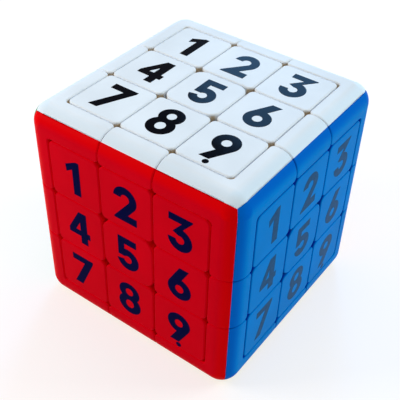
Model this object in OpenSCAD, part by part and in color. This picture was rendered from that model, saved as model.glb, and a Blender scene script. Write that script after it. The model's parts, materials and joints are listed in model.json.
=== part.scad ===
// Magnetic number cube: a three by three by three turning puzzle with a numbered tile on every facelet.
// The origin is the middle of the cube and +Z runs up through the white face. Sizes are in millimetres.
// One facelet is drawn on a face that looks up, in the corner or at the edge beyond +Y, and is then
// turned to its place. Its own axes are called u, v and z.

/* [Cube] */
// Width of the cube across two opposite faces
cube_w = 57; // [55:0.5:64]
// Radius along the outer edges of the cube
edge_r = 4.8; // [1.5:0.1:5.4]
// Running gap between neighbouring cubies
layer_gap = 0.2; // [0.15:0.05:0.4]
// Wall of the hollow cubie shells
shell_wall = 2.2; // [1.8:0.1:2.8]

/* [Number tiles] */
// Distance from the middle of one tile to the next, which is also the width of a middle layer
tile_pitch = 14.6; // [14:0.1:15.2]
// Thickness of a tile, which lies flush with the frame round it
tile_t = 2.4; // [1.6:0.1:3]
// Groove round each tile
tile_gap = 0.35; // [0.2:0.05:0.6]
// Corner radius of the tiles
tile_r = 1.3; // [0.6:0.1:1.8]
// Corner radius of the middle tile of a face
centre_tile_r = 2.9; // [0.6:0.1:3.2]
// Radius of the frame inside the outer corner of a face
seat_r = 0.9; // [0.4:0.1:1.4]
// Radius of the frame's ends beside each layer cut
frame_end_r = 1; // [0.4:0.1:1.6]
// Thickness of the glue under a tile or a magnet
glue_t = 0.05; // [0.03:0.01:0.1]

/* [Turning mechanism] */
// Radius of the hollow ball that the feet run in
ball_r = 20; // [19:0.25:21]
// How far a foot reaches under its neighbours
foot_lip = 3; // [2.4:0.1:3.2]
// Reach of a corner foot from the middle planes of the cube
corner_foot_reach = 13.5; // [11:0.25:14]

/* [Core, screws and springs] */
// Reach of the core's arms from the middle of the cube
arm_reach = 10; // [9:0.25:11]
// Wall of a core arm round its screw
arm_wall = 2; // [1.4:0.1:2.4]
// Clearance between the core's hub and the edge feet
hub_gap = 0.4; // [0.3:0.05:0.8]
// Wall of a centre stem round its spring
stem_wall = 0.9; // [0.7:0.05:1.2]
// Floor of a centre stem, which the spring presses on
stem_floor = 2; // [1.2:0.1:2.5]
// Diameter of the screw shanks
screw_d = 2.6; // [2.2:0.1:2.8]
// Depth that a screw reaches into its arm
screw_bite = 7; // [5:0.25:7.5]
// Height of a screw head
head_h = 2; // [1.4:0.1:2.4]
// Thickness of the washer under a screw head
washer_t = 0.5; // [0.3:0.1:0.8]
// Length of a fitted spring
spring_len = 6; // [5:0.25:7]
// Diameter of the spring wire
wire_d = 0.5; // [0.35:0.05:0.6]
// Turns of a spring
spring_turns = 4; // [3:1:5]
// Clearance round the screw heads, washers and springs in a stem
well_gap = 0.3; // [0.2:0.05:0.4]

/* [Magnets] */
// Diameter of a disc magnet
magnet_d = 4; // [3:0.5:5]
// Thickness of a disc magnet
magnet_t = 1.5; // [1:0.1:1.5]
// Clearance round a magnet in its pocket
magnet_gap = 0.05; // [0.03:0.01:0.1]
// Depth of a magnet's face under the shell's side
magnet_sink = 0.1; // [0:0.05:0.2]
// Distance from the layer cut to a magnet's middle
magnet_inset = 6.4; // [5.5:0.1:7]
// Depth of a magnet's middle under its tile
magnet_drop = 5; // [4.5:0.1:6]

/* [Hidden] */
$fn = 96;
arc_steps = 6;
half = cube_w / 2;
cut = tile_pitch / 2;
outer_start = cut + layer_gap / 2;
middle_end = cut - layer_gap / 2;
inner_cut = cut - foot_lip;
foot_start = inner_cut + layer_gap / 2;
stem_r = inner_cut - layer_gap / 2;
ball_out = ball_r + layer_gap / 2;
ball_in = ball_r - layer_gap / 2;
seat_z = half - tile_t - glue_t;
seat_half = 1.5 * tile_pitch + tile_gap / 2;
// A flat land stays between the frame's inner edge and the rounded edge of the cube
frame_land = 0.8;
round_r = min(edge_r, half - seat_half - frame_land);
round_start = half - round_r;
seat_corner_r = min(seat_r, tile_r + tile_gap);
// Cutters run this far past the faces that they open
over = 1;
stem_z = arm_reach + layer_gap;
floor_z = stem_z + stem_floor;
well_r = stem_r - stem_wall;
fitted_r = well_r - well_gap;
hub_r = foot_start * sqrt(2) - hub_gap;
thread_gap = 0.05;
shank_gap = 0.3;
spring_seat_gap = 0.1;
washer_z = floor_z + spring_len;
head_z = washer_z + washer_t;
screw_tip = arm_reach - screw_bite;
cross_slot_w = 0.7;
cross_slot_d = 1;
cross_slot_rim = 0.8;
spring_sides = 6;
spring_rings = 8;

FACES = ["white", "red", "blue", "orange", "green", "yellow"];
FACE_TURN = [[0, 0, 0], [90, 0, 0], [90, 0, 90], [90, 0, 180], [90, 0, 270], [180, 0, 0]];
FACE_COLOUR = [
    [0.90, 0.93, 0.96], [0.80, 0.02, 0.10], [0.00, 0.42, 0.76],
    [0.95, 0.42, 0.05], [0.05, 0.55, 0.25], [0.96, 0.80, 0.10]
];
KIND = ["corner", "edge", "centre"];

// Column and row of a tile number, from -1 to 1, and its distance from the middle tile
function column(n) = (n - 1) % 3 - 1;
function row(n) = 1 - floor((n - 1) / 3);
function kind(n) = 2 - abs(column(n)) - abs(row(n));
function facelet_name(f, n) = str(FACES[f], "_", KIND[kind(n)], "_", n);
// Turn about the face's axis that brings the drawn corner, or the drawn edge, to its place
function spin(n) = kind(n) == 2 ? 0 : atan2(row(n), column(n)) - (kind(n) == 0 ? 45 : 90);

// Points of an arc
function arc(centre, r, from, to) = [
    for (s = [0:arc_steps])
        let (a = from + (to - from) * s / arc_steps)
        centre + r * [cos(a), sin(a)]
];

// Outline of a piece that is mitred at 45 degrees along its outer side
function mitre_outline(start, side, top) =
    concat([[start, start], [start, top], [side, top]], side < top ? [[side, side]] : []);

// Prism along v with an outline in u and z
module prism_along_v(length) {
    rotate([90, 0, 0]) translate([0, 0, -length]) linear_extrude(length) children();
}

// Prism along u, as long to both sides, with an outline in v and z
module prism_along_u(length) {
    rotate([90, 0, 90]) linear_extrude(2 * length, center = true) children();
}

// Block of a corner that belongs to one face: two mitres meet along the corner's diagonal
module mitred_block(start, side, top) {
    intersection() {
        prism_along_v(half + over) polygon(mitre_outline(start, side, top));
        prism_along_u(half + over) polygon(mitre_outline(start, side, top));
    }
}

// Half of the cube's rounded edge, from the flat of the face to the mitre
module rounding_outline() {
    translate([round_start, round_start])
        intersection() {
            circle(round_r);
            polygon([[0, 0], [0, 2 * round_r], [2 * round_r, 2 * round_r]]);
        }
}

module corner_rounding() {
    translate([0, outer_start, 0])
        prism_along_v(round_start - outer_start) rounding_outline();
}

// Opening cut along the edge where two sides of a shell meet, so that it is round
module corner_relief(r, height) {
    linear_extrude(height)
        polygon(concat([[-over, -over], [r, -over]], arc([r, r], r, 270, 180), [[-over, r]]));
}

// Seat of a corner tile, with the frame's inside corner and its two ends rounded
module corner_seat() {
    a = seat_half;
    s = seat_corner_r;
    e = frame_end_r;
    outside = outer_start - over;
    translate([0, 0, seat_z])
        linear_extrude(half)
            polygon(concat(
                [[outside, outside], [a + e, outside]],
                arc([a + e, outer_start + e], e, 270, 180),
                arc([a - s, a - s], s, 0, 90),
                arc([outer_start + e, a + e], e, 270, 180),
                [[outside, a + e]]
            ));
}

// Seat of an edge tile, with the frame's two ends rounded
module edge_seat() {
    a = seat_half;
    e = frame_end_r;
    side = middle_end + over;
    translate([0, 0, seat_z])
        linear_extrude(half)
            polygon(concat(
                [[-side, outer_start - over], [side, outer_start - over], [side, a + e]],
                arc([middle_end - e, a + e], e, 0, -90),
                arc([e - middle_end, a + e], e, 270, 180),
                [[-side, a + e]]
            ));
}

// Place of a magnet in the side of a shell, looking along u into the wall
module at_magnet(side, direction) {
    translate([side, outer_start + magnet_inset, seat_z - magnet_drop])
        rotate([0, 90 * direction, 0]) children();
}

module magnet_pocket() {
    translate([0, 0, -over])
        cylinder(d = magnet_d + 2 * magnet_gap, h = over + magnet_sink + magnet_t + glue_t);
}

module disc_magnet() {
    translate([0, 0, magnet_sink]) cylinder(d = magnet_d, h = magnet_t);
}

// One third of a corner cubie: a hollow shell with its share of the foot
module corner_shell() {
    cavity_start = outer_start + shell_wall;
    cavity_top = seat_z - shell_wall;
    difference() {
        union() {
            mitred_block(outer_start, round_start, half);
            corner_rounding();
            mirror([1, -1, 0]) corner_rounding();
            intersection() {
                translate(round_start * [1, 1, 1]) sphere(round_r);
                mitred_block(round_start, half, half);
            }
            intersection() {
                mitred_block(foot_start, corner_foot_reach, corner_foot_reach);
                sphere(ball_in);
            }
        }
        mitred_block(cavity_start, cavity_top, cavity_top);
        corner_seat();
        translate([outer_start, outer_start, corner_foot_reach]) corner_relief(tile_r, half);
        at_magnet(outer_start, 1) magnet_pocket();
    }
}

// One half of an edge cubie: a hollow shell over the ball, with its share of the foot
module edge_shell() {
    cavity_start = outer_start + shell_wall;
    cavity_top = seat_z - shell_wall;
    difference() {
        union() {
            difference() {
                prism_along_u(middle_end) {
                    polygon(mitre_outline(outer_start, round_start, half));
                    rounding_outline();
                }
                difference() {
                    sphere(ball_out);
                    translate([-stem_r, 0, 0]) cube([2 * stem_r, cube_w, cube_w]);
                }
            }
            intersection() {
                prism_along_u(stem_r) polygon(mitre_outline(foot_start, ball_r, ball_r));
                sphere(ball_in);
            }
        }
        difference() {
            prism_along_u(middle_end - shell_wall)
                polygon(mitre_outline(cavity_start, cavity_top, cavity_top));
            sphere(ball_out + shell_wall);
        }
        edge_seat();
        for (side = [0, 1])
            mirror([side, 0, 0])
                translate([-middle_end, outer_start, 0]) corner_relief(tile_r, cube_w);
        at_magnet(middle_end, -1) magnet_pocket();
    }
}

// Centre cubie: a square cap on a round stem, with a well for the screw and its spring
module centre_shell() {
    difference() {
        union() {
            difference() {
                translate([-middle_end, -middle_end, 0])
                    cube([2 * middle_end, 2 * middle_end, seat_z]);
                sphere(ball_out);
                for (quarter = [0:3])
                    rotate([0, 0, 90 * quarter])
                        translate([-middle_end, -middle_end, 0])
                            corner_relief(centre_tile_r, cube_w);
            }
            translate([0, 0, stem_z]) cylinder(r = stem_r, h = ball_r + stem_floor - stem_z);
        }
        translate([0, 0, stem_z - over]) cylinder(d = screw_d + 2 * shank_gap, h = half);
        translate([0, 0, floor_z]) cylinder(r = well_r, h = half);
    }
}

// Number tile in its seat, with its middle at a column and row of the face
module number_tile(i, j, r) {
    side = tile_pitch - tile_gap;
    inner = side / 2 - r;
    translate([tile_pitch * i, tile_pitch * j, half - tile_t])
        linear_extrude(tile_t)
            polygon(concat(
                arc([inner, inner], r, 0, 90), arc([-inner, inner], r, 90, 180),
                arc([-inner, -inner], r, 180, 270), arc([inner, -inner], r, 270, 360)
            ));
}

// Coloured share of a cubie on one face, with its number tile and its magnet
module corner_facelet() {
    corner_shell();
    number_tile(1, 1, tile_r);
    at_magnet(outer_start, 1) disc_magnet();
}

module edge_facelet() {
    edge_shell();
    number_tile(0, 1, tile_r);
    at_magnet(middle_end, -1) disc_magnet();
}

module centre_facelet() {
    centre_shell();
    number_tile(0, 0, centre_tile_r);
}

module facelet(f, n) {
    color(FACE_COLOUR[f])
        rotate(FACE_TURN[f])
            rotate([0, 0, spin(n)]) {
                if (kind(n) == 0) corner_facelet();
                if (kind(n) == 1) edge_facelet();
                if (kind(n) == 2) centre_facelet();
            }
}

module on_each_axis() {
    for (f = [0:5]) rotate(FACE_TURN[f]) children();
}

// Core: a hub with six arms, each drilled for its screw
module core() {
    color([0.16, 0.16, 0.18])
        difference() {
            union() {
                sphere(hub_r);
                on_each_axis() cylinder(d = screw_d + 2 * arm_wall, h = arm_reach);
            }
            on_each_axis()
                translate([0, 0, screw_tip - over])
                    cylinder(d = screw_d + 2 * thread_gap, h = screw_bite + 2 * over);
        }
}

module axle_screw() {
    slot_half = fitted_r - cross_slot_rim;
    difference() {
        union() {
            translate([0, 0, screw_tip]) cylinder(d = screw_d, h = head_z - screw_tip);
            translate([0, 0, head_z]) cylinder(r = fitted_r, h = head_h);
        }
        for (turn = [0, 90])
            rotate([0, 0, turn])
                translate([-slot_half, -cross_slot_w / 2, head_z + head_h - cross_slot_d])
                    cube([2 * slot_half, cross_slot_w, cross_slot_d + over]);
    }
}

module axle_screws() {
    color([0.75, 0.76, 0.78]) on_each_axis() axle_screw();
}

module spring_washers() {
    color([0.80, 0.80, 0.82])
        on_each_axis()
            translate([0, 0, washer_z])
                difference() {
                    cylinder(r = fitted_r, h = washer_t);
                    translate([0, 0, -over])
                        cylinder(d = screw_d + 2 * thread_gap, h = washer_t + 2 * over);
                }
}

// Spring: one unbroken wire that climbs round the screw, with both ends cut square
module tension_spring() {
    coil_r = fitted_r - wire_d / 2;
    low = floor_z + spring_seat_gap + wire_d / 2;
    high = washer_z - spring_seat_gap - wire_d / 2;
    last = spring_turns * spring_rings;
    points = [
        for (k = [0:last], s = [0:spring_sides - 1])
            let (
                a = 360 * k / spring_rings,
                b = 360 * s / spring_sides,
                r = coil_r + wire_d / 2 * cos(b)
            )
            [r * cos(a), r * sin(a), low + (high - low) * k / last + wire_d / 2 * sin(b)]
    ];
    sides = [
        for (k = [0:last - 1], s = [0:spring_sides - 1])
            let (
                p = k * spring_sides + s,
                q = k * spring_sides + (s + 1) % spring_sides
            )
            each [[p, p + spring_sides, q], [q, p + spring_sides, q + spring_sides]]
    ];
    ends = [
        for (s = [1:spring_sides - 2])
            let (e = last * spring_sides)
            each [[0, s, s + 1], [e, e + s + 1, e + s]]
    ];
    polyhedron(points, concat(sides, ends));
}

module tension_springs() {
    color([0.70, 0.71, 0.73]) on_each_axis() tension_spring();
}

for (f = [0:5], n = [1:9])
    facelet(f, n);
core();
axle_screws();
spring_washers();
tension_springs();
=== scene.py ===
# %% [markdown]
# # A magnetic number cube
# The cube is three layers wide each way. Each face has a coloured frame, cut by the gaps between
# the layers, and nine number tiles that lie flush in it. The shapes and the motion come from the
# packed CAD model. This lesson rounds its rims, prints the numbers and gives every surface a finish.

# %% Load the packed model
import json
import math

import bpy
from mathutils import Matrix, Vector


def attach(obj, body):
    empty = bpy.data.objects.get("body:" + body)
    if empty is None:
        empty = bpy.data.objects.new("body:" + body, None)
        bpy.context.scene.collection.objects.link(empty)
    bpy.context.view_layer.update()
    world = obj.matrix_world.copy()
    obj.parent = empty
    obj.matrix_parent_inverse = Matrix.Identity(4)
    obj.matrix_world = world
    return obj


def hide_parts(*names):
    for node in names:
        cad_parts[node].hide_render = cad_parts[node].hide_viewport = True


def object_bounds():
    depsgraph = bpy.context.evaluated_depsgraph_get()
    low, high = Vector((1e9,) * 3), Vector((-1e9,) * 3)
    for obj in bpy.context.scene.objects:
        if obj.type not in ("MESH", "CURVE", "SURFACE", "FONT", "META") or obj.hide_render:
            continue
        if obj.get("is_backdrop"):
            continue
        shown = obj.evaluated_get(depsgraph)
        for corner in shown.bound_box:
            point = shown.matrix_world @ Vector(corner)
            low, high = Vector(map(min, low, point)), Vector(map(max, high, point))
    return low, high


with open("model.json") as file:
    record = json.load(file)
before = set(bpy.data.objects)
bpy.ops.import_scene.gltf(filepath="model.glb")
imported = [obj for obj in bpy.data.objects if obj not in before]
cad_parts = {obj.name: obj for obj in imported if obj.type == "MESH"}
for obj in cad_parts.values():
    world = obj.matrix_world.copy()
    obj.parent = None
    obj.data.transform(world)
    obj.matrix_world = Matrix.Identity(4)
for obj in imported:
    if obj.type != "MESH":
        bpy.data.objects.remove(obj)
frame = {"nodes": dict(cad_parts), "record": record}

MM = 0.001
cad_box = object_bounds()
bpy.ops.object.select_all(action="DESELECT")
print("CAD nodes", len(frame["nodes"]), "box", [round(x / MM, 2) for x in (cad_box[1] - cad_box[0])])

# %% [markdown]
# The camera comes first, because every later choice is judged through it. Its place and turn were
# found by matching points of the cube with their places in the picture: it stands to the right,
# looks down on the cube, and is near enough for the edges to draw together towards the table.

# %% Camera
CAMERA_PLACE = (82.02, -118.16, 119.9)
CAMERA_TURN = (49.43, -1.52, 36.29)
CAMERA_LENS = 68.13
NEAREST_SEEN = 10 * MM

bpy.ops.object.camera_add(
    location=[x * MM for x in CAMERA_PLACE],
    rotation=[math.radians(a) for a in CAMERA_TURN],
)
camera = bpy.context.object
camera.data.lens = CAMERA_LENS
camera.data.clip_start = NEAREST_SEEN
bpy.context.scene.camera = camera
bpy.context.scene.view_settings.view_transform = "Standard"
print("camera", round(camera.location.length / MM), "mm from the middle of the cube")

# %% [markdown]
# A finish could be wired up node by node, but shader maths reads best as plain arithmetic. So `Wire`
# wraps one output socket, and +, - and * on it add Math nodes. The reflected forms let a number stand
# on the left, as in 1 - mask.


# %% Arithmetic on sockets
class Wire:
    def __init__(self, finish, socket):
        self.finish, self.socket = finish, socket

    def math(self, operation, first, second):
        return self.finish.node("Math", {0: first, 1: second}, operation=operation)

    def __add__(self, other):
        return self.math("ADD", self, other)

    def __sub__(self, other):
        return self.math("SUBTRACT", self, other)

    def __rsub__(self, other):
        return self.math("SUBTRACT", other, self)

    def __mul__(self, other):
        return self.math("MULTIPLY", self, other)

    __radd__, __rmul__ = __add__, __mul__


print("signs that add Math nodes: + - *")

# %% [markdown]
# `Finish` is one material, or the world. Its `node` method adds any node: the settings go first, then
# the values or wires of its sockets. The short methods under it give the nodes that this lesson needs
# again and again, such as `share`, a smooth step from one value to another, and `blend`, which mixes
# two colours.


# %% One finish
class Finish:
    def __init__(self, name, owner=None):
        self.owner = owner or bpy.data.materials.new(name)
        self.owner.use_nodes = True
        self.tree = self.owner.node_tree
        self.tree.nodes.clear()

    def node(self, kind, sockets=None, out=0, stops=(), **settings):
        made = self.tree.nodes.new("ShaderNode" + kind)
        for key, value in settings.items():
            setattr(made, key, value)
        for i, (place, colour) in enumerate(stops):
            element = made.color_ramp.elements[i]
            element.position, element.color = place, rgba(colour)
        for key, value in (sockets or {}).items():
            if isinstance(value, Wire):
                self.tree.links.new(value.socket, made.inputs[key])
            else:
                made.inputs[key].default_value = value
        return Wire(self, made.outputs[out]) if made.outputs else made

    def vector(self, operation, *inputs, out=0):
        return self.node("VectorMath", dict(enumerate(inputs)), out=out, operation=operation)

    def where(self):
        return self.node("TexCoord", out="Object")

    def noise(self, place, scale, detail):
        return self.node("TexNoise", {"Vector": place, "Scale": scale, "Detail": detail}, out="Fac")

    def share(self, value, low, high, start=0, end=1):
        return self.node(
            "MapRange",
            {"Value": value, "From Min": low, "From Max": high, "To Min": start, "To Max": end},
            interpolation_type="SMOOTHSTEP",
        )

    def blend(self, part, first, second):
        return self.node("Mix", {0: part, 6: first, 7: second}, out=2, data_type="RGBA")

    def surface(self, shader, output="OutputMaterial"):
        self.node(output, {"Surface": shader})
        return self.owner


def rgba(colour):
    return (*colour, 1)


print("methods of a finish", [name for name in vars(Finish) if not name.startswith("_")])

# %% [markdown]
# The cube stands on a plain pale floor, which should look as white as paper and still hold a faint
# shadow. Stronger lamps could whiten it, but they would bleach the cube as well. So the floor is simply
# pale for the light that bounces back to the cube. The camera, and mirrored and transmitted rays, see
# a darker floor, whose shadow is faint, with a light of its own that fills it up to white. That light
# grows with the distance, so the floor has no horizon.

# %% Floor
FLOOR_SIZE = 6
FLOOR_COLOUR = (0.86, 0.87, 0.88)
FLOOR_SEEN = (0.50, 0.45, 0.43)
FLOOR_LIFT = (0.63, 0.87)
LIFT_REACH = (0.12, 0.6)
WHITE = (1, 1, 1)


def seen_rays(finish):
    seen = finish.node("LightPath", out="Is Camera Ray")
    for ray in ("Is Glossy Ray", "Is Transmission Ray"):
        seen = seen.math("MAXIMUM", seen, finish.node("LightPath", out=ray))
    return seen


bpy.ops.mesh.primitive_plane_add(size=FLOOR_SIZE, location=(0, 0, cad_box[0].z))
floor = bpy.context.object
floor.name = "floor"
pale = Finish("pale_floor")
seen = seen_rays(pale)
lit = pale.node("BsdfDiffuse", {"Color": pale.blend(seen, rgba(FLOOR_COLOUR), rgba(FLOOR_SEEN))})
away = pale.vector("LENGTH", pale.where(), out="Value")
lift = pale.share(away, *LIFT_REACH, *FLOOR_LIFT)
glow = pale.node("Emission", {"Color": rgba(WHITE), "Strength": seen * lift})
floor.data.materials.append(pale.surface(pale.node("AddShader", {0: lit, 1: glow})))
floor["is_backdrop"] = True
print("floor at", round(cad_box[0].z / MM, 2), "mm")

# %% [markdown]
# The room round the cube gives an even, slightly cool light from all sides. The same rays that see
# the white floor see the room as white too, so the background has one colour.

# %% Room light
WORLD_COLOUR = (0.90, 0.96, 1.0)
WORLD_LEVEL = 0.45

world = bpy.data.worlds.new("soft_room")
bpy.context.scene.world = world
room = Finish("soft_room", world)
seen = seen_rays(room)
tint = room.blend(seen, rgba(WORLD_COLOUR), rgba(WHITE))
level = room.node("Background", {"Color": tint, "Strength": WORLD_LEVEL + seen * (1 - WORLD_LEVEL)})
room.surface(level, "OutputWorld")
print("room light", WORLD_LEVEL)

# %% [markdown]
# Four softboxes shape the cube. The one at the back is small and blue, like a window: the glossy ink
# on the right half of the white face mirrors it and turns slate blue, while the ink on the left half
# stays black. Its roll sets the slope of that border. The top one evens out the white face, the right
# one lights the blue face, and the left one keeps the red face and its rounded edge bright.


# %% Softboxes
def softbox(name, place, size, power, colour=WHITE, roll=0):
    bpy.ops.object.light_add(type="AREA", location=[x * MM for x in place])
    lamp = bpy.context.object
    lamp.name = name
    lamp.rotation_euler = (-lamp.location).to_track_quat("-Z", "Y").to_euler()
    lamp.rotation_euler.rotate_axis("Z", math.radians(roll))
    lamp.data.shape = "RECTANGLE"
    lamp.data.size, lamp.data.size_y = size[0] * MM, size[1] * MM
    lamp.data.energy = power
    lamp.data.color = colour
    return lamp


lamps = [
    softbox("back_softbox", (-193, 398, 306), (140, 116), 0.98, (0.18, 0.50, 1), roll=-28),
    softbox("top_softbox", (0, 120, 450), (200, 200), 0.12),
    softbox("right_softbox", (330, 300, 260), (220, 220), 1.03, (0.78, 0.96, 1)),
    softbox("left_softbox", (-190, -170, 130), (120, 120), 0.33),
]
print("softboxes", {lamp.name: round(lamp.location.length / MM) for lamp in lamps})

# %% [markdown]
# Each face has its own plastic and its own ink. The table gives the direction that a face looks in and
# the direction of its rows of numbers. Then come the colours: of the plastic itself; of the rounded edge,
# a painted light and shade for how the lamps fall on it, lighter on the red, bluer on the white and
# darker on the blue; of the walls of the joints, a painted light and shade in place of the light that
# comes back out of the plastic, lighter on the red and darker on most other faces; and of the small deep
# holes where four tiles meet, a painted shade that is tan on the white and darker on most faces, though
# lighter on the red. Shiny plastic would mirror the white floor and look washed out, so the gloss is low.

# %% Face colours
# The colours of the rounded edge, of the joint walls and of the holes are painted light and shade.
FACES = {
    "white": {
        "normal": (0, 0, 1), "right": (1, 0, 0), "gloss": 0.03,
        "colour": (0.90, 0.90, 0.89), "edge": (0.86, 0.94, 0.99),
        "wall": (0.87, 0.88, 0.90), "hole": (0.66, 0.51, 0.34),
        "ink": (0.0001, 0.0004, 0.003), "ink_gloss": 0.014,
    },
    "red": {
        "normal": (0, -1, 0), "right": (1, 0, 0), "gloss": 0.006,
        "colour": (0.70, 0.0, 0.008), "edge": (0.86, 0.0, 0.002),
        "wall": (0.90, 0.0, 0.01), "hole": (0.80, 0.0, 0.0),
        "ink": (0.001, 0.002, 0.04), "ink_gloss": 0.005,
    },
    "blue": {
        "normal": (1, 0, 0), "right": (0, 1, 0), "gloss": 0.006,
        "colour": (0.0, 0.228, 0.66), "edge": (0.0, 0.145, 0.62),
        "wall": (0.0, 0.11, 0.52), "hole": (0.0, 0.03, 0.6),
        # The ink on the blue face is lighter than the other inks: a painted sheen for the glare on that
        # face.
        "ink": (0.008, 0.082, 0.20), "ink_gloss": 0.01,
    },
    "orange": {
        "normal": (0, 1, 0), "right": (-1, 0, 0), "gloss": 0.01,
        "colour": (0.95, 0.225, 0.004), "edge": (0.97, 0.23, 0.0),
        "wall": (0.95, 0.19, 0.0), "hole": (0.35, 0.05, 0.0),
        "ink": (0.003, 0.004, 0.014), "ink_gloss": 0.01,
    },
    "green": {
        "normal": (-1, 0, 0), "right": (0, -1, 0), "gloss": 0.01,
        "colour": (0.0, 0.32, 0.06), "edge": (0.0, 0.30, 0.04),
        "wall": (0.0, 0.20, 0.03), "hole": (0.0, 0.09, 0.02),
        "ink": (0.003, 0.005, 0.014), "ink_gloss": 0.01,
    },
    "yellow": {
        "normal": (0, 0, -1), "right": (1, 0, 0), "gloss": 0.01,
        "colour": (0.90, 0.62, 0.01), "edge": (0.92, 0.64, 0.01),
        "wall": (0.92, 0.60, 0.0), "hole": (0.40, 0.24, 0.0),
        "ink": (0.003, 0.005, 0.014), "ink_gloss": 0.01,
    },
}
print("faces", list(FACES))

# %% [markdown]
# Light that sinks into plastic could be traced as subsurface scattering, but that is slow, and an
# exported model loses it. Colours that follow the place on the cube stand in for it: painted light and
# painted shade in the joints and in the holes. The depth is measured under a cube with rounded edges, so
# it is nought all over the outside and grows inside every joint. The holes, with their painted shade,
# lie where two of the lines between the tiles cross, near the surface. Deeper in, on the cut faces that a
# half-turned layer shows, the painted joint colour comes back.

# %% Places on the cube
HALF = cad_box[1].z
CUBE_ROUND = 4.8 * MM
PITCH = 14.6 * MM
HOLE_REACH = (2 * MM, 1 * MM)
HOLE_LINES = (1.2, 2)
HOLE_DEPTHS = (0.15 * MM, 0.8 * MM)
HOLE_END = (3.2 * MM, 2.6 * MM)


def past_flat(made, far):
    past = made.vector("SUBTRACT", far, [HALF - CUBE_ROUND] * 3)
    return made.vector("MAXIMUM", past, (0, 0, 0))


# Mask for the painted shade in the small holes where four tiles meet
def tile_corner_holes(made, far, depth):
    cell = made.vector("MODULO", far, [PITCH] * 3)
    off = made.vector("ABSOLUTE", made.vector("SUBTRACT", cell, [PITCH / 2] * 3))
    lines = sum(made.share(made.node("SeparateXYZ", {0: off}, out=axis), *HOLE_REACH) for axis in "XYZ")
    return made.share(lines, *HOLE_LINES) * made.share(depth, *HOLE_DEPTHS) * made.share(depth, *HOLE_END)


print("holes from", [round(d / MM, 2) for d in (HOLE_DEPTHS[0], HOLE_END[0])], "mm under the surface")

# %% [markdown]
# The colour goes right through moulded plastic, so the frame, the tile and the foot inside share one
# finish. Flow marks from the mould vary the colour and the gloss a little, and a fine grain breaks up
# the reflections. Four colours of a face are then laid over each other: the body, the painted light and
# shade of the rounded edge, the painted light and shade in the joints, and the painted shade in the
# holes.

# %% Moulded plastic
FLOW_SCALE, FLOW_DETAIL = 70, 3
FLOW_STOPS, FLOW_SHADES = (0.3, 0.7), (0.94, 1.05)
GRAIN_SCALE, GRAIN_DETAIL = 2600, 2
GRAIN_HEIGHT, PLASTIC_BUMP, FLOW_BUMP = 0.02 * MM, 0.12, 2
PLASTIC_ROUGH, FLOW_ROUGH, GRAIN_ROUGH = 0.26, 0.12, 0.04
PAINTED_EDGE_LIGHT_STEPS = (1.1 * CUBE_ROUND, 1.41 * CUBE_ROUND)
PAINTED_JOINT_DEPTHS = (0.0, 0.35 * MM)


def moulded_plastic(name, face):
    made = Finish(name)
    place = made.where()
    far = made.vector("ABSOLUTE", place)
    past = past_flat(made, far)
    depth = CUBE_ROUND - made.vector("LENGTH", past, out="Value")
    steps = made.vector("DOT_PRODUCT", past, (1, 1, 1), out="Value")
    flow = made.noise(place, FLOW_SCALE, FLOW_DETAIL)
    grain = made.noise(place, GRAIN_SCALE, GRAIN_DETAIL)
    shades = [[min(1, c * part) for c in face["colour"]] for part in FLOW_SHADES]
    shown = made.node("ValToRGB", {"Fac": flow}, out="Color", stops=zip(FLOW_STOPS, shades))
    # painted light and shade on the rounded edge, for how the lamps fall on it
    shown = made.blend(made.share(steps, *PAINTED_EDGE_LIGHT_STEPS), shown, rgba(face["edge"]))
    # painted light and shade in the joints: lighter on the red, darker on most other faces
    shown = made.blend(made.share(depth, *PAINTED_JOINT_DEPTHS), shown, rgba(face["wall"]))
    # painted shade in the holes where four tiles meet, tan on the white and lighter on the red
    shown = made.blend(tile_corner_holes(made, far, depth), shown, rgba(face["hole"]))
    height = grain + flow * FLOW_BUMP
    bump = made.node("Bump", {"Strength": PLASTIC_BUMP, "Distance": GRAIN_HEIGHT, "Height": height})
    return made.surface(made.node(
        "BsdfPrincipled",
        {"Base Color": shown, "Roughness": PLASTIC_ROUGH + flow * FLOW_ROUGH + grain * GRAIN_ROUGH,
         "Specular IOR Level": face["gloss"], "Normal": bump},
    ))


plastics = {name: moulded_plastic(name + "_plastic", face) for name, face in FACES.items()}
print("plastics", len(plastics), "nodes in one", len(plastics["white"].node_tree.nodes))

# %% [markdown]
# The numbers are printed in a glossy dark ink, one for each face; the lighter ink on the blue face is a
# painted sheen for the glare there. The hidden pieces get finishes too, because they show when the cube
# is taken apart: nickel on the disc magnets, black nylon on the core, and steel on the screws, washers
# and springs. All of them are a cloudy colour with a matching gloss, and ink and nylon also have a
# shallow bump.

# %% Ink, nickel, nylon and steel
CLOUD_DETAIL = 4
METAL_STOPS, METAL_SHADES, METAL_CLOUD = (0.3, 0.75), (0.85, 1), 0.15
BODY_STOPS, BODY_SHADES, BODY_CLOUD = (0.25, 0.75), (0.8, 1.15), 0.1
BODY_HEIGHT, BODY_BUMP = 0.02 * MM, 0.15
INK_ROUGH, INK_SCALE = 0.06, 900


def clouded(made, colour, scale, stops, shades):
    cloud = made.noise(made.where(), scale, CLOUD_DETAIL)
    colours = [[min(1, c * part) for c in colour] for part in shades]
    return cloud, made.node("ValToRGB", {"Fac": cloud}, out="Color", stops=zip(stops, colours))


def plain_metal(name, colour, roughness, scale):
    made = Finish(name)
    cloud, shade = clouded(made, colour, scale, METAL_STOPS, METAL_SHADES)
    return made.surface(made.node(
        "BsdfPrincipled",
        {"Base Color": shade, "Metallic": 1.0, "Roughness": roughness + cloud * METAL_CLOUD},
    ))


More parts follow.
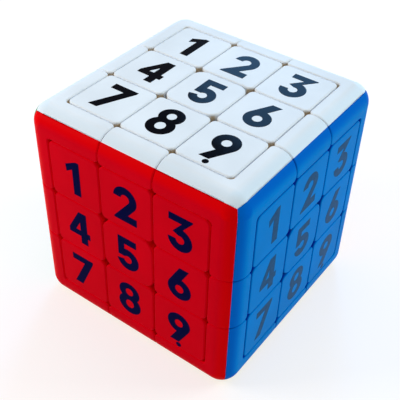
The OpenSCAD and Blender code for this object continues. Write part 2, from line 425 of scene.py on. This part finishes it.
def matt_body(name, colour, roughness, scale, gloss=0.5):
    made = Finish(name)
    cloud, shade = clouded(made, colour, scale, BODY_STOPS, BODY_SHADES)
    bump = made.node("Bump", {"Strength": BODY_BUMP, "Distance": BODY_HEIGHT, "Height": cloud})
    return made.surface(made.node(
        "BsdfPrincipled",
        {"Base Color": shade, "Roughness": roughness + cloud * BODY_CLOUD,
         "Specular IOR Level": gloss, "Normal": bump},
    ))


inks = {
    name: matt_body("ink_on_" + name, face["ink"], INK_ROUGH, INK_SCALE, face["ink_gloss"])
    for name, face in FACES.items()
}
nickel = plain_metal("magnet_nickel", (0.72, 0.71, 0.68), 0.18, 700)
core_nylon = matt_body("core_nylon", (0.03, 0.03, 0.034), 0.5, 500)
screw_steel = plain_metal("screw_steel", (0.6, 0.61, 0.62), 0.22, 1200)
spring_steel = plain_metal("spring_steel", (0.45, 0.46, 0.48), 0.3, 1500)
print("inks", len(inks), "finishes in all", len(bpy.data.materials))

# %% [markdown]
# A facelet is one shell of a cubie with its tile and its magnet. Its shape is right in the CAD model
# apart from the rims, so the lesson starts from a copy of the CAD node rather than from a primitive.
# The node itself is never changed. The copy gets its own mesh, and is selected for the next steps.

# %% Copy a facelet
BODY_OF = {node: body for body, nodes in frame["record"]["behaviour"]["bodies"].items() for node in nodes}
FACELETS = [node for node in sorted(BODY_OF) if node.split("_")[0] in FACES]


def copy_of_node(node, name):
    bpy.ops.object.select_all(action="DESELECT")
    piece = frame["nodes"][node].copy()
    piece.data = piece.data.copy()
    piece.parent = None
    for key in list(piece.keys()):
        del piece[key]
    piece.name = piece.data.name = name
    bpy.context.scene.collection.objects.link(piece)
    piece.select_set(True)
    bpy.context.view_layer.objects.active = piece
    return piece


# %% [markdown]
# A moulded edge is never sharp. The edges to round are the sharp ones near the plane of the face: the
# rims of the tiles, the frame beside them and the layer cuts, also where these run over the rounded
# edge of the cube. Where two colours meet at 45 degrees the pieces fit flush, so those edges stay sharp.

# %% Find the rims
RIM_LEVEL = HALF - 1.5 * MM
MITRE = 0.01 * MM
SHARP_TURN = math.radians(40)


def is_rim(edge, mesh, normal):
    ends = [mesh.vertices[i].co for i in edge.vertices]
    if min(p.dot(normal) for p in ends) < RIM_LEVEL:
        return False
    on_mitre = [sum(abs(abs(x) - p.dot(normal)) < MITRE for x in p) > 1 for p in ends]
    return not all(on_mitre)


def sharp_edges(mesh):
    turns = {}
    for polygon in mesh.polygons:
        for key in polygon.edge_keys:
            turns.setdefault(key, []).append(polygon.normal)
    limit = math.cos(SHARP_TURN)
    return {key for key, pair in turns.items() if len(pair) == 2 and pair[0].dot(pair[1]) < limit}


print("rims lie above", round(RIM_LEVEL / MM, 2), "mm")

# %% [markdown]
# A Bevel modifier could round the copy, but it takes every sharp edge alike, the mitres and the hidden
# feet too. In edit mode the rims alone can be selected: the loose triangles are merged into whole
# faces, and then the bevel operator rounds the rims. Weighted normals keep the flats looking flat.

# %% Round the rims
EDGE_ROUND = 0.32 * MM
EDGE_SEGMENTS = 3
MERGE = 0.002 * MM
FLAT_TURN, SMOOTH_TURN = math.radians(0.5), math.radians(38)


def soften(piece, normal):
    bpy.ops.object.mode_set(mode="EDIT")
    bpy.ops.mesh.select_all(action="SELECT")
    bpy.ops.mesh.remove_doubles(threshold=MERGE)
    bpy.ops.mesh.dissolve_limited(angle_limit=FLAT_TURN)
    bpy.ops.mesh.select_all(action="DESELECT")
    bpy.ops.mesh.select_mode(type="EDGE")
    bpy.ops.object.mode_set(mode="OBJECT")
    sharp = sharp_edges(piece.data)
    for edge in piece.data.edges:
        edge.select = edge.key in sharp and is_rim(edge, piece.data, normal)
    bpy.ops.object.mode_set(mode="EDIT")
    bpy.ops.mesh.bevel(offset=EDGE_ROUND, segments=EDGE_SEGMENTS, affect="EDGES", clamp_overlap=False)
    bpy.ops.object.mode_set(mode="OBJECT")
    bpy.ops.object.shade_smooth_by_angle(angle=SMOOTH_TURN)
    bpy.ops.object.modifier_add(type="WEIGHTED_NORMAL")
    piece.modifiers[-1].keep_sharp = True
    bpy.ops.object.modifier_apply(modifier=piece.modifiers[-1].name)


print("rims rounded by", round(EDGE_ROUND / MM, 2), "mm")

# %% [markdown]
# The disc magnet of a facelet is a loose solid in the same mesh, and it gets the nickel. Loose solids
# are found by joining the ends of every edge into groups: points of one group belong to one solid.
# The only solid that is small each way is the magnet.

# %% Find the magnets
MAGNET_REACH = 4.5 * MM


def solids_of(mesh):
    group = list(range(len(mesh.vertices)))

    def root(i):
        while group[i] != i:
            group[i] = group[group[i]]
            i = group[i]
        return i

    for edge in mesh.edges:
        group[root(edge.vertices[0])] = root(edge.vertices[1])
    return [root(i) for i in range(len(group))]


def colour_magnet(piece):
    mesh = piece.data
    solid = solids_of(mesh)
    points = {}
    for vertex in mesh.vertices:
        points.setdefault(solid[vertex.index], []).append(vertex.co)
    small = {
        key for key, spots in points.items()
        if max(max(p[a] for p in spots) - min(p[a] for p in spots) for a in range(3)) < MAGNET_REACH
    }
    for polygon in mesh.polygons:
        polygon.material_index = int(solid[polygon.vertices[0]] in small)
    return len(small)


print("a magnet is under", round(MAGNET_REACH / MM, 2), "mm each way")

# %% [markdown]
# Now all 54 facelets are made in one loop. Each one rides the body of its cubie, takes the place of its
# hidden CAD node, and has two finishes: the plastic of its face and the nickel of its magnet.

# %% Make the facelets
magnets = 0
for node in FACELETS:
    colour = node.split("_")[0]
    facelet = copy_of_node(node, node + "_facelet")
    soften(facelet, Vector(FACES[colour]["normal"]))
    facelet.data.materials.clear()
    facelet.data.materials.append(plastics[colour])
    facelet.data.materials.append(nickel)
    magnets += colour_magnet(facelet)
    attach(facelet, BODY_OF[node])
    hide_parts(node)
    colour + "_plastic"

# %% [markdown]
# The numbers are printed in a bold letter of even strokes. Text objects would need a font like it, so
# they are drawn instead, which circles and straight lines can do. First come the round strokes: an
# arc, a whole disc, and a bow, which is an arc as wide as a stroke.

# %% Round strokes
STROKE = 2.05
TALL = 4.8
ARC_STEPS = 36


def arc(centre, radius, start, end):
    steps = max(3, round(ARC_STEPS * abs(end - start) / 360))
    angles = [math.radians(start + (end - start) * k / steps) for k in range(steps + 1)]
    rx, ry = radius
    return [(centre[0] + rx * math.cos(a), centre[1] + ry * math.sin(a)) for a in angles]


def disc(centre, radius):
    return arc(centre, radius, 0, 360)[:-1]


def bow(centre, radius, start, end):
    inner = radius - STROKE
    return arc(centre, (radius, radius), start, end) + arc(centre, (inner, inner), end, start)


print("numbers", 2 * TALL, "mm tall, strokes", STROKE, "mm wide")

# %% [markdown]
# Every number is a few outlines that are joined, and the counters that are cut out of them, in
# millimetres from the middle of its tile. The 9 is the 6 turned round, with a dot that tells the two
# apart.


# %% Number outlines
def two():
    bowl, radius, lean = (0, TALL - 3.2), 3.2, -39
    inner = radius - STROKE
    return (
        arc(bowl, (radius, radius), 178, lean)
        + [(0.7, STROKE - TALL), (3.1, STROKE - TALL), (3.1, -TALL), (-3.25, -TALL), (-3.25, 0.45 - TALL)]
        + arc(bowl, (inner, inner), lean, 178)
    )


def turned(outlines):
    return [[(-x, -y) for x, y in outline] for outline in outlines]


SIX_BOWL = (0, -1.68)
SIX_STEM = [(-0.05, TALL), (-2.76, -0.16), (-1.6, 0.4), (0.55, 1.2), (2.47, TALL)]
NUMBERS = {
    1: ([[(-2.4, 3.05), (0.65, 4.7), (1.65, 4.7), (1.65, -4.7), (-0.5, -4.7), (-0.5, 2.25),
          (-2.2, 1.15)]], []),
    2: ([two()], []),
    3: ([[(-2.95, TALL), (3.2, TALL), (3.2, 4.5), (0.67, 1.37), (0.4, 0.2), (-0.3, -0.6),
          (-1.9, 0.07), (0.4, 2.92), (-2.95, 2.92)], bow((0, -1.65), 3.15, 104, -178)], []),
    4: ([[(0.1, TALL), (2.4, TALL), (2.4, -0.85), (3.25, -0.85), (3.25, -2.6), (2.4, -2.6),
          (2.4, -TALL), (0.3, -TALL), (0.3, -2.6), (-3.25, -2.6), (-3.25, -1.25)]],
        [[(-1.05, -0.85), (0.3, -0.85), (0.3, 1.65)]]),
    5: ([[(-2.7, TALL), (2.6, TALL), (2.6, 2.88), (-0.85, 2.88), (-0.85, -0.98), (-2.7, -0.98)],
         bow((0.05, -1.65), 3.15, 140, -168)], []),
    6: ([disc(SIX_BOWL, (3.15, 3.12)), SIX_STEM], [disc(SIX_BOWL, (1.12, 1.16))]),
    7: ([[(-3.25, TALL), (3.25, TALL), (3.25, 4.05), (-0.7, -TALL), (-3.1, -TALL), (0.5, 2.87),
          (-3.25, 2.87)]], []),
    8: ([disc((0, 2.16), (3.05, 2.84)), disc((0, -1.86), (3.3, 3.14))],
        [disc((0, 2.16), (1.1, 1.15)), disc((0, -1.86), (1.2, 1.3))]),
}
NINE_DOT = disc((0, -5.8), (0.72, 0.72))
NUMBERS[9] = (turned(NUMBERS[6][0]) + [NINE_DOT], turned(NUMBERS[6][1]))
print("numbers", len(NUMBERS), "corners", sum(len(s) for plates, _ in NUMBERS.values() for s in plates))

# %% [markdown]
# The print could be painted into the tile's material, but a thin plate has sharp edges from any
# distance. Each number is made once, lying flat at the origin. A circle with as many corners as an
# outline has is dragged to that outline and extruded. Boolean modifiers then join the plates and drill
# the counters. The plate stands a hair above the tile, so that no two faces lie in one plane.

# %% Number plates
INK_ABOVE, INK_BELOW = 0.03 * MM, 0.12 * MM
DRILL_LOW, DRILL_HIGH = -2 * INK_BELOW, 3 * INK_ABOVE


def plate(outline, low, high):
    bpy.ops.object.select_all(action="DESELECT")
    bpy.ops.mesh.primitive_circle_add(vertices=len(outline), fill_type="NGON", location=(0, 0, 0))
    made = bpy.context.object
    for vertex, (x, y) in zip(made.data.vertices, outline):
        vertex.co = (x * MM, y * MM, low)
    bpy.ops.object.mode_set(mode="EDIT")
    bpy.ops.mesh.select_all(action="SELECT")
    bpy.ops.mesh.extrude_region_move(TRANSFORM_OT_translate={"value": (0, 0, high - low)})
    bpy.ops.mesh.select_all(action="SELECT")
    bpy.ops.mesh.normals_make_consistent(inside=False)
    bpy.ops.object.mode_set(mode="OBJECT")
    return made


def combine(base, tool, operation):
    bpy.context.view_layer.objects.active = base
    bpy.ops.object.modifier_add(type="BOOLEAN")
    joint = base.modifiers[-1]
    joint.operation, joint.solver, joint.object = operation, "EXACT", tool
    bpy.ops.object.modifier_apply(modifier=joint.name)
    bpy.data.objects.remove(tool)


def model_number(n):
    plates, counters = NUMBERS[n]
    number = plate(plates[0], -INK_BELOW, INK_ABOVE)
    for outline in plates[1:]:
        combine(number, plate(outline, -INK_BELOW, INK_ABOVE), "UNION")
    for outline in counters:
        combine(number, plate(outline, DRILL_LOW, DRILL_HIGH), "DIFFERENCE")
    number.name = number.data.name = f"number_{n}"
    return number


numbers = {n: model_number(n) for n in NUMBERS}
print("plates", {n: len(o.data.vertices) for n, o in numbers.items()})

# %% [markdown]
# Each number is copied to its tile on all six faces. A face's own right and up directions turn the
# flat plate to the face, and its place is then applied to the mesh, so that the object stays at
# the origin and rides with its cubie.

# %% Print the tiles
NUDGE = {9: -0.1}


def print_tile(colour, node, n):
    normal, right = Vector(FACES[colour]["normal"]), Vector(FACES[colour]["right"])
    up = normal.cross(right)
    column, row = (n - 1) % 3 - 1, 1 - (n - 1) // 3
    middle = normal * HALF + right * (column * PITCH) + up * (row * PITCH + NUDGE.get(n, 0) * MM)
    turn = Matrix((right, up, normal)).transposed().to_4x4()
    printed = numbers[n].copy()
    printed.data = numbers[n].data.copy()
    printed.name = printed.data.name = node + "_number"
    printed.data.transform(Matrix.Translation(middle) @ turn)
    printed.data.materials.append(inks[colour])
    bpy.context.scene.collection.objects.link(printed)
    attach(printed, BODY_OF[node])


for node in FACELETS:
    colour, _, n = node.split("_")
    print_tile(colour, node, int(n))
for pattern in numbers.values():
    bpy.data.objects.remove(pattern)

# %% [markdown]
# The core, screws, washers and springs are right as the CAD model has them, so they keep their own
# meshes and only get their finishes.

# %% Inner pieces
INNER = {"core": core_nylon, "axle_screws": screw_steel, "spring_washers": screw_steel,
         "tension_springs": spring_steel}
for node, finish in INNER.items():
    mesh = frame["nodes"][node].data
    mesh.materials.clear()
    mesh.materials.append(finish)
print("inner pieces", len(INNER))

# %% [markdown]
# The finished cube has to be as large as the CAD model. Both boxes are measured and their difference
# is printed: the ink stands out by a few hundredths of a millimetre on each face, and nothing else may.

# %% Sizes and finish
made_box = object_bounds()
grown = (made_box[1] - made_box[0]) - (cad_box[1] - cad_box[0])
print("grown by", [round(x / MM, 3) for x in grown], "mm")
